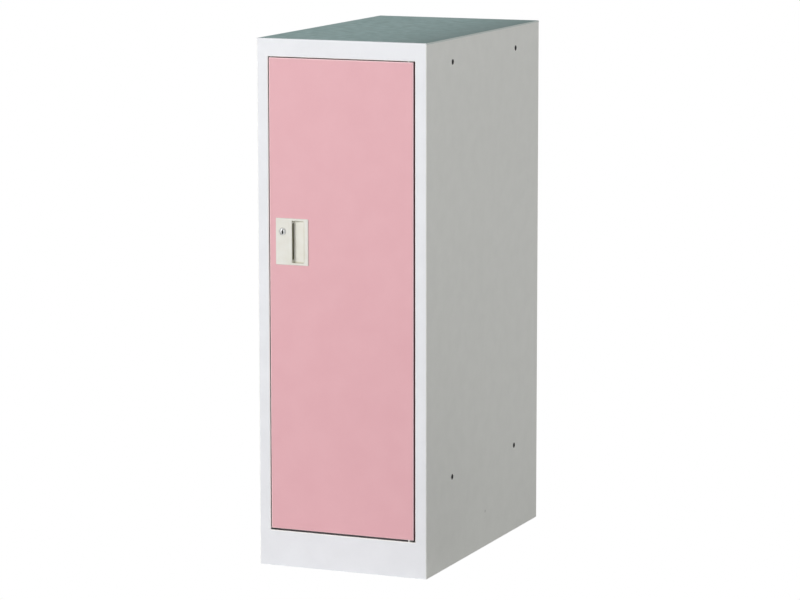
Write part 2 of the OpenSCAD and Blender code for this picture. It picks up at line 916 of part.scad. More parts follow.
// The whole handle, from the face of its plate to the back of its pocket
module handle_solid() {
    snap_x = box_x + (box_w - snap_w) / 2;
    difference() {
        union() {
            translate([handle_x, plate_face_y, handle_z]) cube([handle_w, handle_proud, handle_h]);
            translate([recess_x, front_y, box_z]) linear_extrude(box_h) handle_box_2d();
            for (z = [box_z - snap_h, box_z + box_h])
                translate([snap_x, front_y + sheet_t, z]) cube([snap_w, snap_t, snap_h]);
        }
        translate([recess_x, front_y, recess_z]) linear_extrude(recess_h) recess_2d();
        translate([recess_x, front_y, recess_z + pocket_end])
            linear_extrude(recess_h - 2 * pocket_end) pocket_2d();
        at_lock(plate_face_y - cut)
            cylinder(r = barrel_r + barrel_fit, h = handle_proud + 2 * cut);
    }
}

// Piece of the handle between two depths
module handle_piece(start_y, end_y) {
    color(cream) intersection() {
        handle_solid();
        translate([handle_x - cut, start_y, handle_z - cut])
            cube([handle_w + 2 * cut, end_y - start_y, handle_h + 2 * cut]);
    }
}

// Front of the handle, with the lip over the pocket
module handle_plate() {
    handle_piece(plate_face_y - cut, lip_back_y);
}

// Back of the handle, with the ramp and the pocket
module handle_housing() {
    handle_piece(lip_back_y, front_y + recess_depth + handle_wall + cut);
}

module lock_barrel() {
    color(zinc) difference() {
        union() {
            at_lock(lock_face_y) cylinder(d = lock_head_d, h = lock_proud);
            at_lock(plate_face_y) cylinder(r = barrel_r, h = barrel_end_y - plate_face_y);
        }
        at_lock(lock_face_y - cut)
            cylinder(r = plug_r + plug_fit, h = barrel_end_y - lock_face_y + 2 * cut);
    }
}

module lock_nut() {
    color(steel) at_lock(front_y + sheet_t) nut(lock_nut_af, barrel_r + fastener_fit, lock_nut_t);
}

module lock_plug() {
    plug_l = cam_y - lock_face_y;
    keyway_top = keyway_w / 2;
    color(steel) difference() {
        at_lock(lock_face_y) {
            cylinder(r = plug_r, h = plug_l);
            translate([-cam_square / 2, -cam_square / 2, plug_l])
                cube([cam_square, cam_square, cam_t]);
        }
        translate([lock_x - keyway_w / 2, lock_face_y - cut, lock_z - keyway_h])
            cube([keyway_w, keyway_depth + cut, keyway_h + keyway_top]);
        at_lock(cam_y + cam_t - cam_screw_reach)
            cylinder(r = cam_screw_d / 2 + cam_fit, h = cam_screw_reach + cut);
    }
}

module lock_cam() {
    tip = cam_len - cam_w / 2;
    hole = cam_square + 2 * cam_fit;
    color(zinc) translate([lock_x, cam_y + cam_t, lock_z]) rotate([90, 0, 0])
        linear_extrude(cam_t) difference() {
            union() {
                circle(d = cam_w);
                translate([-cam_w / 2, -tip]) square([cam_w, tip]);
                translate([0, -tip]) circle(d = cam_w);
            }
            square(hole, center = true);
        }
}

module cam_screw() {
    color(steel) at_lock(cam_y + cam_t) {
        translate([0, 0, -cam_screw_reach]) cylinder(d = cam_screw_d, h = cam_screw_reach);
        cylinder(d = cam_screw_head_d, h = cam_screw_head_h);
    }
}

left_side();
right_side();
top_panel();
header_rail();
left_stile();
right_stile();
left_return();
right_return();
left_stop();
right_stop();
upper_stop();
lower_stop();
back_panel();
floor_panel();
kick_plate();
left_base_rail();
right_base_rail();
leveller_nuts();
shelf();
left_shelf_angle();
right_shelf_angle();
hanger_rail();
rail_socket(-1);  // left_rail_socket
rail_socket(1);  // right_rail_socket
at_upper_hinge() cabinet_hinge_plate();  // upper_hinge_plate
at_lower_hinge() cabinet_hinge_plate();  // lower_hinge_plate
at_upper_hinge() hinge_pin(door_gap_top);  // upper_hinge_pin
at_lower_hinge() hinge_pin(door_gap_bottom);  // lower_hinge_pin
lock_keeper();
catch_plate();
catch_magnet();
catch_rivets();
door_bumpers();
door_skin();
door_side_wall(0);  // door_left_wall
door_side_wall(door_w - bend_r);  // door_right_wall
door_end_wall(door_h - bend_r);  // door_top_wall
door_end_wall(0);  // door_bottom_wall
door_side_fold(0);  // door_left_fold
door_side_fold(door_w - door_fold_w);  // door_right_fold
door_end_fold(door_h - door_fold_w);  // door_top_fold
door_end_fold(0);  // door_bottom_fold
door_stiffener();
stiffener_webs();
stiffener_feet();
at_upper_hinge() door_hinge_plate(door_gap_top);  // upper_door_plate
at_lower_hinge() door_hinge_plate(door_gap_bottom);  // lower_door_plate
at_upper_hinge() hinge_bush(door_gap_top);  // upper_hinge_bush
at_lower_hinge() hinge_bush(door_gap_bottom);  // lower_hinge_bush
handle_plate();
handle_housing();
lock_barrel();
lock_nut();
lock_plug();
lock_cam();
cam_screw();
leveller(-1, leveller_front_y);  // front_left_leveller
leveller(1, leveller_front_y);  // front_right_leveller
leveller(-1, leveller_back_y);  // rear_left_leveller
leveller(1, leveller_back_y);  // rear_right_leveller
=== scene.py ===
import json
import math
import bmesh
import bpy
import numpy as np
from mathutils import Matrix, Vector


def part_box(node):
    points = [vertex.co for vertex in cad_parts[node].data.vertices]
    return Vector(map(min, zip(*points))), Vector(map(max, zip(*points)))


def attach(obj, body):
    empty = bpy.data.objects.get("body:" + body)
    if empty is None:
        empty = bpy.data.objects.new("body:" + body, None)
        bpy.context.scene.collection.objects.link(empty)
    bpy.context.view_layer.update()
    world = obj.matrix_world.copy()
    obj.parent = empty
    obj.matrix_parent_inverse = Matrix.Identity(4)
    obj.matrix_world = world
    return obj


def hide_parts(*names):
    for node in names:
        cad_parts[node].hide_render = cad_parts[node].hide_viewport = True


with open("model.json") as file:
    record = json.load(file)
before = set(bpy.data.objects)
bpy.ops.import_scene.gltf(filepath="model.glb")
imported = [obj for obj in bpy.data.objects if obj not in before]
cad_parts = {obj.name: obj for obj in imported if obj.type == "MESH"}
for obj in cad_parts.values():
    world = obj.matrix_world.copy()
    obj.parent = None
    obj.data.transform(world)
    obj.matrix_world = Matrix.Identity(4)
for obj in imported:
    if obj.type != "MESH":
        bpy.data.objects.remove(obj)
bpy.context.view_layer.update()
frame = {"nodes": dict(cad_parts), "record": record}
nodes = frame["nodes"]
slotOf = {part["node"]: part["material_slot"] for part in frame["record"]["subparts"]}
bodyOf = {n: body for body, names in frame["record"]["behaviour"]["bodies"].items() for n in names}
mm = 0.001
print("frame loaded:", len(nodes), "nodes")


# The camera, from the corners of the cabinet that show in the photograph
camera = {
    "place": (2.27031, -5.43148, 1.35134),
    "turn": 22.7178,  # degrees from looking along +Y
    "down": 9.013,
    "roll": -0.0572,
    "lens": 157.357,
    "sensor": 36.0,
    "clip": (0.1, 100.0),
}


def addCamera(c):
    # Ahead is (-sin turn cos down, cos turn cos down, -sin down), right is level and up is square to both.
    # The roll then turns right and up round ahead.
    turn, down, roll = (math.radians(c[k]) for k in ("turn", "down", "roll"))
    ahead = Vector((-math.sin(turn) * math.cos(down), math.cos(turn) * math.cos(down), -math.sin(down)))
    right = Vector((math.cos(turn), math.sin(turn), 0))
    up = right.cross(ahead)
    right, up = (right * math.cos(roll) + up * math.sin(roll), up * math.cos(roll) - right * math.sin(roll))
    cam = bpy.data.objects.new("camera", bpy.data.cameras.new("camera"))
    cam.data.lens, cam.data.sensor_width = c["lens"], c["sensor"]
    cam.data.clip_start, cam.data.clip_end = c["clip"]
    cam.matrix_world = Matrix.Translation(c["place"]) @ Matrix((right, up, -ahead)).transposed().to_4x4()
    bpy.context.scene.collection.objects.link(cam)
    bpy.context.scene.camera = cam


addCamera(camera)
scene = bpy.context.scene
scene.view_settings.view_transform = "Standard"
print("camera set")

bevelSamples = 4
edgeLean = (0.99, 0.75)  # how well a bevelled normal agrees with the true one, beside an edge and on it
midNoise = (0.3, 0.7)  # most of a noise's values lie between these
plainNoise = (3, 0.5)  # detail and roughness of a noise


class Graph:
    # Short way to add and join the nodes of one material
    def __init__(self, name):
        self.material = bpy.data.materials.new(name)
        self.material.use_nodes = True
        self.tree = self.material.node_tree
        self.tree.nodes.clear()
        self.output = self.tree.nodes.new("ShaderNodeOutputMaterial")
        self.shader = self.tree.nodes.new("ShaderNodeBsdfPrincipled")
        self.tree.links.new(self.shader.outputs[0], self.output.inputs[0])
        self.place = self.add("ShaderNodeTexCoord").outputs["Object"]
        self.normal = None

    def add(self, kind, settings=None, **inputs):
        n = self.tree.nodes.new(kind)
        for key, value in (settings or {}).items():
            setattr(n, key, value)
        for key, value in inputs.items():
            self.feed(n.inputs[key.replace("_", " ")], value)
        return n

    def feed(self, socket, value):
        if isinstance(value, bpy.types.NodeSocket):
            self.tree.links.new(value, socket)
        else:
            socket.default_value = value

    def set(self, **values):
        # Numbers that are the same all over, on the shader's own sockets
        for key, value in values.items():
            self.shader.inputs[key.replace("_", " ")].default_value = value

    def math(self, kind, a, b=0.0):
        n = self.tree.nodes.new("ShaderNodeMath")
        n.operation = kind
        self.feed(n.inputs[0], a)
        self.feed(n.inputs[1], b)
        return n.outputs[0]

    def times(self, first, *others):
        # The product of several values
        for other in others:
            first = self.math("MULTIPLY", first, other)
        return first

    def below(self, value, limit):
        # 1 where the value is under the limit and 0 elsewhere
        return self.math("LESS_THAN", value, limit)

    def slant(self, a, b):
        # The long side of a right angle: the root of a squared plus b squared
        return self.math("SQRT", self.math("ADD", self.times(a, a), self.times(b, b)))

    def noise(self, size, detail, rough, stretch=None):
        # Noise whose features are about that many metres across, from 0 to 1
        place = self.place
        if stretch:
            place = self.add("ShaderNodeMapping", Vector=place, Scale=stretch).outputs[0]
        n = self.add("ShaderNodeTexNoise", Vector=place, Scale=1 / size, Detail=detail, Roughness=rough)
        return n.outputs[0]

    def spread(self, value, low, high, start=0.0, end=1.0):
        # Runs from start to end while the value runs from low to high, and stays there beyond them
        return self.add("ShaderNodeMapRange", Value=value, From_Min=low, From_Max=high,
                        To_Min=start, To_Max=end).outputs[0]

    def patches(self, size, span, amounts, kind=plainNoise):
        # Noise of that size and kind, spread over two amounts
        return self.spread(self.noise(size, *kind), *span, *amounts)

    def mix(self, amount, a, b):
        n = self.tree.nodes.new("ShaderNodeMix")
        n.data_type, n.clamp_factor = "RGBA", True
        self.feed(n.inputs[0], amount)
        for socket, color in ((n.inputs[6], a), (n.inputs[7], b)):
            self.feed(socket, (*color, 1) if isinstance(color, tuple) else color)
        return n.outputs[2]

    def along(self, axis, value=None):
        # One coordinate of the place, or of another vector
        split = self.add("ShaderNodeSeparateXYZ", Vector=value or self.place)
        return split.outputs["XYZ".index(axis)]

    def apart(self, axis, middle):
        # Distance from a place along one axis, the same on both sides of it
        return self.math("ABSOLUTE", self.math("SUBTRACT", self.along(axis), middle))

    def facing(self, axis):
        # How far the true surface looks along one axis, from -1 to 1
        return self.along(axis, self.add("ShaderNodeNewGeometry").outputs["Normal"])

    def nearPoint(self, point, radius):
        # 1 in the inner half of a round spot, falling to 0 at its rim
        n = self.tree.nodes.new("ShaderNodeVectorMath")
        n.operation = "DISTANCE"
        self.feed(n.inputs[0], self.place)
        n.inputs[1].default_value = point
        return self.spread(n.outputs["Value"], radius, radius * 0.5)

    def edge(self, radius):
        # 1 along sharp edges and 0 on flat faces, from how far a bevelled normal leans away
        bevel = self.add("ShaderNodeBevel", {"samples": bevelSamples}, Radius=radius).outputs[0]
        lean = self.tree.nodes.new("ShaderNodeVectorMath")
        lean.operation = "DOT_PRODUCT"
        self.feed(lean.inputs[0], bevel)
        self.feed(lean.inputs[1], self.add("ShaderNodeNewGeometry").outputs["Normal"])
        return self.spread(lean.outputs["Value"], *edgeLean)

    def paint(self, color):
        self.feed(self.shader.inputs["Base Color"], color)

    def darken(self, amount, color):
        # Lays a colour over what feeds the base colour so far
        self.paint(self.mix(amount, self.shader.inputs["Base Color"].links[0].from_socket, color))

    def gloss(self, size, rough, kind=plainNoise):
        # Roughness that wanders between two values
        self.feed(self.shader.inputs["Roughness"], self.patches(size, midNoise, rough, kind))

    def softEdge(self, radius):
        # A normal that turns round sharp edges, for thin sheet that keeps its CAD mesh
        self.normal = self.add("ShaderNodeBevel", {"samples": bevelSamples}, Radius=radius).outputs[0]

    def plainWhere(self, amount):
        # Goes back to the true normal there
        n = self.tree.nodes.new("ShaderNodeMix")
        n.data_type = "VECTOR"
        self.feed(n.inputs[0], amount)
        self.feed(n.inputs[4], self.normal)
        self.feed(n.inputs[5], self.add("ShaderNodeNewGeometry").outputs["Normal"])
        self.normal = n.outputs[1]

    def bump(self, height, depth):
        # Adds relief, whose height runs from 0 to 1 over that many metres
        b = self.add("ShaderNodeBump", Strength=1.0, Distance=depth, Height=height)
        if self.normal is not None:
            self.feed(b.inputs["Normal"], self.normal)
        self.normal = b.outputs[0]
        self.feed(self.shader.inputs["Normal"], self.normal)


def linear(r, g, b):
    # A screen colour of 0 to 255 as the light that it stands for
    shares = (r / 255, g / 255, b / 255)
    return tuple(c / 12.92 if c <= 0.04045 else ((c + 0.055) / 1.055) ** 2.4 for c in shares)


def cloudsAndSpecks(g, s):
    # The colour, with its tint in large soft clouds and in small specks
    clouds = g.patches(s["cloudSize"], s["cloudSpan"], (0, s["cloud"]))
    specks = g.patches(s["speckSize"], s["speckSpan"], (0, s["speck"]), s["speckNoise"])
    return g.mix(specks, g.mix(clouds, s["color"], s["tint"]), s["tint"])


def behindDoor(g):
    # Metres back from the door's face
    return g.math("SUBTRACT", g.along("Y"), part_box("door_skin")[0].y)


# Powder coat: a colour with faint clouds and specks, orange peel, a painted highlight along edges and
# bends, and painted shade on the walls of the gap round the door
cabinetCoat = {
    "color": linear(233, 235, 239), "tint": linear(222, 224, 228),
    "cloudSize": 0.05, "cloudSpan": (0.35, 0.65), "cloud": 0.35,
    "speckSize": 0.0035, "speckSpan": (0.52, 0.8), "speck": 0.3, "speckNoise": (4, 0.7),
    "highlight": linear(254, 254, 248),  # painted highlight along edges and on bends
    "edgeWide": 0.0008, "edgeHighlight": 0.6, "bendSpan": (0.93, 0.6), "bendHighlight": 0.9,
    # Painted shade on the walls of the gap round the door
    "shadeAndMarks": linear(70, 66, 66),  # on the walls of the gap round the door
    "gapHalf": 0.14, "gapRise": 0.008, "gapStart": (0.0004, 0.0012), "gapDeep": 0.012, "gapFade": 0.006,
    "gapFacing": 0.3, "gapShade": 0.75,
    "frontWithin": 0.00003, "frontFacing": -0.99,  # what counts as the flat front
    "softEdge": 0.0004, "peelSize": 0.0022, "peel": 0.00003, "peelNoise": (2, 0.4),
    "finePeelSize": 0.00044, "finePeel": 0.25, "finePeelNoise": (2, 0.5),
    "glossSize": 0.0132, "rough": (0.37, 0.48), "coat": 0.2, "coatRough": 0.22, "shine": 0.45,
}
# The sides: a slightly greyer, warmer copy of the cabinet's coat, as painted shade for the weaker light on
# them
sideShadedCoat = {
    **cabinetCoat, "color": linear(226, 227, 222), "tint": linear(214, 215, 210),
    "cloudSize": 0.03, "cloud": 0.25,
}
# The top: the cabinet's coat darkened to a teal grey, as painted shade for the dim light that falls on it
topShadedCoat = {
    **cabinetCoat, "color": linear(160, 191, 190), "tint": linear(135, 167, 165),
    "cloudSize": 0.018, "cloud": 0.9, "speckSize": 0.006, "speck": 0.6, "rough": (0.45, 0.56), "coat": 0.0,
    "fadeSpan": (-0.13, 0.15), "fadePower": 3.0, "fade": 0.9, "fadeShade": linear(110, 138, 136),
    # Its bends: the cabinet's white at the front and back, and a greyer painted shade on the sides'
    "rim": (cabinetCoat["color"], linear(196, 204, 200)),  # on the front and back bends, and the sides'
    "rimBend": (0.985, 0.93), "rimTurn": (0.05, 0.2),
}
doorCoat = {
    **cabinetCoat, "color": linear(227, 175, 182), "tint": linear(221, 166, 174),
    # The door's painted highlight on its edges and bends, and painted shade on its walls in the gap
    "highlight": linear(255, 224, 227), "shadeAndMarks": linear(84, 36, 36),
    "gapStart": (0.001, 0.0022), "gapDeep": 0.022, "gapShade": 0.55,
}


def bends(g, span):
    # 1 on rounded bends and 0 on faces that look along an axis, from the sum of the normal's fourth powers
    powers = [g.math("POWER", g.math("ABSOLUTE", g.facing(axis)), 4.0) for axis in "XYZ"]
    return g.spread(g.math("ADD", g.math("ADD", powers[0], powers[1]), powers[2]), *span)


def inGap(g, s):
    # 1 on the walls of the gap round the door, behind its mouth, where the painted shade goes
    low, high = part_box("door_skin")
    behind = behindDoor(g)
    walls = g.below(g.math("ABSOLUTE", g.facing("Y")), s["gapFacing"])
    across = g.below(g.apart("X", 0), s["gapHalf"])
    rise = g.below(g.apart("Z", (low.z + high.z) / 2), (high.z - low.z) / 2 + s["gapRise"])
    start = g.spread(behind, *s["gapStart"])
    end = g.spread(behind, s["gapDeep"], s["gapDeep"] - s["gapFade"])
    return g.times(walls, across, rise, start, end)


def onFront(g, s):
    # 1 on the flat front, where flush pieces meet without a visible joint
    return g.times(g.below(behindDoor(g), s["frontWithin"]), g.below(g.facing("Y"), s["frontFacing"]))


def powderCoat(name, s):
    g = Graph(name)
    front = onFront(g, s)
    base = cloudsAndSpecks(g, s)
    if "fade" in s:
        # Painted shade: darker towards the right, by a power of the way across
        across = g.math("POWER", g.spread(g.along("X"), *s["fadeSpan"]), s["fadePower"])
        base = g.mix(g.times(across, s["fade"]), base, s["fadeShade"])
    # Painted highlight: lighter paint along sharp edges and on rounded bends, but not on the flat front
    worn = g.times(g.edge(s["edgeWide"]), s["edgeHighlight"])
    highlit = g.math("MAXIMUM", worn, g.times(bends(g, s["bendSpan"]), s["bendHighlight"]))
    base = g.mix(g.times(highlit, g.math("SUBTRACT", 1.0, front)), base, s["highlight"])
    # Painted shade on the walls of the gap round the door
    base = g.mix(g.times(inGap(g, s), s["gapShade"]), base, s["shadeAndMarks"])
    # On the top's bends, the cabinet's white at the front and back and a greyer painted shade on the sides'
    if "rim" in s:
        bent = g.spread(g.facing("Z"), *s["rimBend"])
        sideways = g.spread(g.math("ABSOLUTE", g.facing("X")), *s["rimTurn"])
        base = g.mix(bent, base, g.mix(sideways, *s["rim"]))
    g.paint(base)
    g.softEdge(s["softEdge"])
    g.plainWhere(front)
    peel = g.noise(s["peelSize"], *s["peelNoise"])
    fine = g.noise(s["finePeelSize"], *s["finePeelNoise"])
    g.bump(g.math("ADD", peel, g.times(fine, s["finePeel"])), s["peel"])
    g.gloss(s["glossSize"], s["rough"])
    g.set(Coat_Weight=s["coat"], Coat_Roughness=s["coatRough"], Specular_IOR_Level=s["shine"])
    return g


# On the side panels, a faint round spot-weld mark low on the right one, and a dark ring of painted shade in
# and round each hole
sideMarks = {
    "weld": (0.150, 0.0080, 0.0607), "weldSize": 0.0035, "weldShade": 0.25, "weldRise": 0.00012,
    "holeMiddle": 0.001, "holeHalf": 0.144, "holeHeights": (0.841, 0.150),
    "ring": 0.0047, "ringFade": 0.0002, "ringShade": 0.98, "shadeAndMarks": linear(14, 15, 14),
}


def weldedSide(name, s, marks):
    g = powderCoat(name, s)
    across = g.math("ABSOLUTE", g.math("SUBTRACT", g.apart("Y", marks["holeMiddle"]), marks["holeHalf"]))
    rise = g.math("MINIMUM", *[g.apart("Z", height) for height in marks["holeHeights"]])
    away = g.slant(across, rise)
    # Painted shade in and round each hole
    dark = g.spread(away, marks["ring"], marks["ring"] - marks["ringFade"], 0, marks["ringShade"])
    g.darken(dark, marks["shadeAndMarks"])
    weld = g.nearPoint(marks["weld"], marks["weldSize"])
    g.darken(g.times(weld, marks["weldShade"]), marks["shadeAndMarks"])
    g.bump(weld, marks["weldRise"])
    return g


# The handle: a plate with a lip over a finger pocket, and a ramp that leads under the lip.
# x runs from the lip's edge, y from the door's face and z from the recess's lower end, in mm.
handle = {
    "proud": 1.2, "outerRound": 0.9, "rimRings": 6, "plateCorner": 1.3, "cornerSteps": 6, "plateEdge": 28.9,
    "recessWide": 22.7, "recessTall": 70.0, "recessCorner": 3.0, "recessAhead": 3.0,
    "window": (-5.0, -4.0, 20.0),  # what rounds the recess's right corners: its left, front and back
    "lip": 2.4, "wall": 1.5, "pocketBack": 12.2, "pocketReach": 7.5, "pocketEnd": 5.0,
    "ramp": [(22.7, 0.75), (21.9, 0.95), (5.0, 4.3), (3.2, 4.65)],  # (x, depth), from the right wall
    "rampFoot": [(1.4, 5.0), (0.5, 5.35), (0.0, 5.9), (-0.1, 7.2)],
    "shellFront": -0.5, "shellStep": (6.9, 6.3), "shellEnd": 2.1,  # its back steps forward, then slopes
    "lockHole": 5.75, "lockHoleSpan": (-4.0, 0.6), "lockHoleSteps": 48, "lockIn": 12.1, "lockDrop": 22.2,
    "flat": 0.5, "sharp": 30.0,  # degrees, under which faces join up, and over which an edge shows
}

# Its moulded plastic: fine spark-eroded texture, a slightly yellow tint in the clouds, painted shade in the
# recess and the pocket
handlePlastic = {
    "color": linear(227, 227, 220), "tint": linear(218, 215, 203),
    "cloudSize": 0.018, "cloudSpan": (0.35, 0.7), "cloud": 0.6,
    "speckSize": 0.0016, "speckSpan": (0.6, 0.8), "speck": 0.25, "speckNoise": (4, 0.7),
    "softEdge": 0.0006, "grainSize": 0.0005, "grain": 0.000012, "grainNoise": (3, 0.6),
    "glossSize": 0.006, "rough": (0.43, 0.55), "ior": 1.52,
    # Painted shade: a dark olive deep in the pocket, a faint shade over the whole recess, more at its ends
    # and right side
    "deep": linear(144, 138, 60), "deepSpan": (0.0052, 0.0082), "grimeSpan": (0.0002, 0.0008), "worn": 0.06,
    "endSpan": (0.0035, 0.0003), "endShade": 0.4, "sideSpan": (0.0026, 0.0016), "sideShade": 0.35,
    "spare": (0.0002, 0.0002, 0.0005),  # how far the painted shade may go past the ends, the pocket's left and its back
    "mouth": 0.003, "backFacing": 0.1, "rightFacing": 0.5,  # tell the housing's outside, which is left unshaded
}


def mouldedPlastic(name, s, pull):
    g = Graph(name)
    g.paint(cloudsAndSpecks(g, s))
    g.softEdge(s["softEdge"])
    g.bump(g.noise(s["grainSize"], *s["grainNoise"]), s["grain"])
    g.gloss(s["glossSize"], s["rough"])
    # Painted shade, only inside the recess and the pocket and not on the back of the housing
    low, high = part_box("handle_plate")
    x, behind, middle = g.along("X"), behindDoor(g), g.apart("Z", (low.z + high.z) / 2)
    lip = low.x + pull["plateEdge"] * mm
    end = lip + pull["recessWide"] * mm
    half = pull["recessTall"] / 2 * mm
    spareEnd, spareLeft, spareBack = s["spare"]
    openSide = g.math("MAXIMUM", g.below(x, lip + s["mouth"]), g.below(g.facing("X"), s["rightFacing"]))
    inside = g.times(g.below(behind, pull["pocketBack"] * mm + spareBack),
                     g.below(middle, half + spareEnd),
                     g.math("GREATER_THAN", x, lip - pull["pocketReach"] * mm - spareLeft),
                     g.below(g.facing("Y"), s["backFacing"]),
                     openSide)
    # Painted shade at the recess's two ends, along its right side, and faintly all over it
    ends = g.spread(middle, half - s["endSpan"][0], half - s["endSpan"][1], 0, s["endShade"])
    side = g.spread(x, end - s["sideSpan"][0], end - s["sideSpan"][1], 0, s["sideShade"])
    corner = g.times(g.math("MAXIMUM", g.math("MAXIMUM", ends, side), s["worn"]), inside)
    g.darken(g.times(corner, g.spread(behind, *s["grimeSpan"])), s["deep"])
    # Painted shade deep in the pocket under the lip
    g.darken(g.times(g.spread(behind, *s["deepSpan"]), inside), s["deep"])
    g.set(IOR=s["ior"])
    return g


# Bare and plated metal: colour clouds, fine lines along one way, smudges in the gloss
metalWear = {
    "edgeWide": 0.0006, "edgeWorn": 0.6, "softEdge": 0.0003, "lineNoise": (2, 0.5),
    "smudge": 0.7, "smudgeNoise": (4, 0.6),  # its size is a share of the cloud's
}
lockNickel = {
    "color": (0.88, 0.89, 0.88), "tint": (0.80, 0.81, 0.79), "worn": (0.9, 0.9, 0.88),
    "cloudSize": 0.004, "lineSize": 0.0006, "lineWay": (1, 1, 6), "lines": 0.000004, "rough": (0.26, 0.36),
}
metals = {
    "zinc": {"color": (0.58, 0.60, 0.62), "tint": (0.50, 0.50, 0.44), "worn": (0.72, 0.73, 0.74),
             "cloudSize": 0.009, "lineSize": 0.0008, "lineWay": (1, 1, 0.2), "lines": 0.000008,
             "rough": (0.28, 0.44)},
    "steel": {"color": (0.50, 0.51, 0.52), "tint": (0.42, 0.42, 0.42), "worn": (0.7, 0.7, 0.7),
              "cloudSize": 0.006, "lineSize": 0.0005, "lineWay": (0.15, 0.15, 1), "lines": 0.000006,
              "rough": (0.24, 0.38)},
    "rail_chrome": {"color": (0.72, 0.73, 0.75), "tint": (0.66, 0.67, 0.68), "worn": (0.8, 0.8, 0.8),
                    "cloudSize": 0.03, "lineSize": 0.0005, "lineWay": (0.02, 1, 1), "lines": 0.000003,
                    "rough": (0.07, 0.16)},
}


def metal(name, s, wear):
    g = Graph(name)
    base = g.mix(g.patches(s["cloudSize"], midNoise, (0, 1)), s["color"], s["tint"])
    g.paint(g.mix(g.times(g.edge(wear["edgeWide"]), wear["edgeWorn"]), base, s["worn"]))
    g.softEdge(wear["softEdge"])
    g.bump(g.noise(s["lineSize"], *wear["lineNoise"], s["lineWay"]), s["lines"])
    g.gloss(s["cloudSize"] * wear["smudge"], s["rough"], wear["smudgeNoise"])
    g.set(Metallic=1.0)
    return g


# The lock's face, in mm: a dark groove round the plug, painted shade round the head's rim and painted shade
# in the keyway
lockFace = {
    "groove": 4.22, "grooveWide": 0.4, "grooveFull": 0.16, "grooveShade": 0.9,
    "rim": (5.3, 5.78), "rimIn": 4.0, "rimShade": (0.85, 0.3),  # darkest on the left
    "keyway": 4.1, "keywaySpan": (0.3, 0.9), "keywayDeep": 13.0, "shadeAndMarks": (0.05, 0.052, 0.055),
}


def lockMetal(name, s, wear, f):
    g = metal(name, s, wear)
    low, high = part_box("lock_barrel")
    r = g.slant(g.apart("X", (low.x + high.x) / 2), g.apart("Z", (low.z + high.z) / 2))
    off = g.math("ABSOLUTE", g.math("SUBTRACT", r, f["groove"] * mm))
    g.darken(g.spread(off, f["grooveWide"] * mm, f["grooveFull"] * mm, 0, f["grooveShade"]), f["shadeAndMarks"])
    # Painted shade on the head's rounded rim, darkest on the left
    rim = g.spread(r, f["rim"][0] * mm, f["rim"][1] * mm)
    leftward = g.spread(g.along("X"), low.x + f["rimIn"] * mm, high.x, *f["rimShade"])
    g.darken(g.times(rim, leftward), f["shadeAndMarks"])
    # Painted shade inside the keyway
    depth = g.math("SUBTRACT", g.along("Y"), low.y)
    deep = g.spread(depth, f["keywaySpan"][0] * mm, f["keywaySpan"][1] * mm)
    within = g.times(g.below(depth, f["keywayDeep"] * mm), g.below(r, f["keyway"] * mm))
    g.darken(g.times(deep, within), f["shadeAndMarks"])
    return g


# Dull moulded or pressed stuff: a base colour with dust, a rough grain, and on nylon painted shade on what
# looks towards +X
dullWear = {
    "dustSize": 0.005, "dustSpan": (0.5, 0.8), "dusty": 0.7, "dustNoise": (4, 0.65),
    "softEdge": 0.0004, "grainNoise": (3, 0.6), "glossSize": 0.003,
    "rightwardFacing": (-0.3, 0.0), "rightwardShading": 0.9,  # painted shade on nylon, darkening what looks towards +X
}
dulls = {
    "nylon": {"color": (0.72, 0.72, 0.70), "dust": (0.64, 0.63, 0.59), "rightwardShade": (0.06, 0.055, 0.05),
              "grainSize": 0.0008, "grain": 0.00001, "rough": (0.38, 0.52)},
    "bumper_rubber": {"color": (0.022, 0.022, 0.023), "dust": (0.10, 0.10, 0.095),
                      "grainSize": 0.0007, "grain": 0.00003, "rough": (0.62, 0.8)},
    "magnet_ferrite": {"color": (0.035, 0.035, 0.038), "dust": (0.075, 0.07, 0.065),
                       "grainSize": 0.0006, "grain": 0.00002, "rough": (0.42, 0.6)},
}


def dull(name, s, wear):
    g = Graph(name)
    dust = g.patches(wear["dustSize"], wear["dustSpan"], (0, wear["dusty"]), wear["dustNoise"])
    g.paint(g.mix(dust, s["color"], s["dust"]))
    # Painted shade: darker on what looks towards +X
    if "rightwardShade" in s:
        g.darken(g.spread(g.facing("X"), *wear["rightwardFacing"], 0, wear["rightwardShading"]), s["rightwardShade"])
    g.softEdge(wear["softEdge"])
    g.bump(g.noise(s["grainSize"], *wear["grainNoise"]), s["grain"])
    g.gloss(wear["glossSize"], s["rough"])
    return g


def plainName(slot):
    # A slot's name without its line: bumper_rubber gives BumperRubber
    return slot.replace("_", " ").title().replace(" ", "")


finishes = {
    "cabinet_paint": powderCoat("cabinetPaint", cabinetCoat),
    "top_paint": powderCoat("topShadedPaint", topShadedCoat),
    "door_paint": powderCoat("doorPaint", doorCoat),
    "handle_plastic": mouldedPlastic("handlePlastic", handlePlastic, handle),
    "lock_nickel": lockMetal("lockNickel", lockNickel, metalWear, lockFace),
    **{slot: metal(plainName(slot), s, metalWear) for slot, s in metals.items()},
    **{slot: dull(plainName(slot), s, dullWear) for slot, s in dulls.items()},
}
for name, slot in slotOf.items():
    slots = nodes[name].data.materials
    for i in range(len(slots)):
        slots[i] = finishes[slot].material
# The side panels take the greyer copy of the coat: painted shade
sideShadedPaint = weldedSide("sideShadedPaint", sideShadedCoat, sideMarks)
for name in ("left_side", "right_side"):
    nodes[name].data.materials[0] = sideShadedPaint.material
print("finishes set")

# What counts as one point and as a sliver, in the mesh's own unit, and an angle that leaves nothing sharp
mend = {"merge": 2e-6, "poleMerge": 1e-6, "sliver": 1e-7, "noneSharp": 180.0}


def shadeSmooth(mesh):
    mesh.polygons.foreach_set("use_smooth", np.ones(len(mesh.polygons), dtype=bool))


